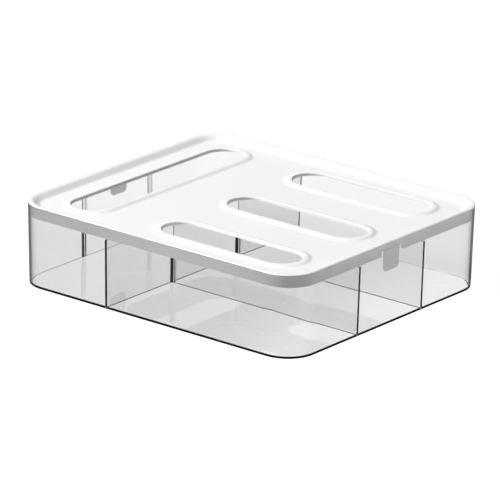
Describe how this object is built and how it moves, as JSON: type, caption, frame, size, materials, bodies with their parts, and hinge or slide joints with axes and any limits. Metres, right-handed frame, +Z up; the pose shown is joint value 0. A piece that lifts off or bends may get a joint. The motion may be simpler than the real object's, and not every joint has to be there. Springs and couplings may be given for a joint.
{
  "type": "divided food storage container",
  "caption": "Low clear divided container with a white lift-off lid whose round-ended openings hand out folded bags from the compartments below.",
  "frame": {"origin": "middle of the footprint, on the surface that the container stands on", "axes": "+X along the front towards the cross compartments, +Y to the back, +Z up"},
  "size_m": [0.3252, 0.2852, 0.079],
  "materials": {
    "clear_plastic": "clear, polished, very faint grey",
    "white_plastic": "opaque white, soft satin"
  },
  "bodies": {
    "tray": {"tray": "clear_plastic", "long_divider": "clear_plastic", "front_divider": "clear_plastic", "rear_divider": "clear_plastic"},
    "lid": {"lid": "white_plastic"},
    "left_latch": {"left_latch": "white_plastic"},
    "right_latch": {"right_latch": "white_plastic"}
  },
  "joints": [
    {"name": "lid_lift", "type": "slide", "parent": "tray", "child": "lid", "axis": [0, 0, 1], "range_m": [0, 0.1]},
    {"name": "left_latch_flex", "type": "hinge", "parent": "lid", "child": "left_latch", "pos_m": [-0.1593, 0, 0.0716], "axis": [0, -1, 0], "range_deg": [0, 5], "stiffness_Nm_per_rad": 0.3},
    {"name": "right_latch_flex", "type": "hinge", "parent": "lid", "child": "right_latch", "pos_m": [0.1593, 0, 0.0716], "axis": [0, 1, 0], "range_deg": [0, 5], "stiffness_Nm_per_rad": 0.3}
  ]
}
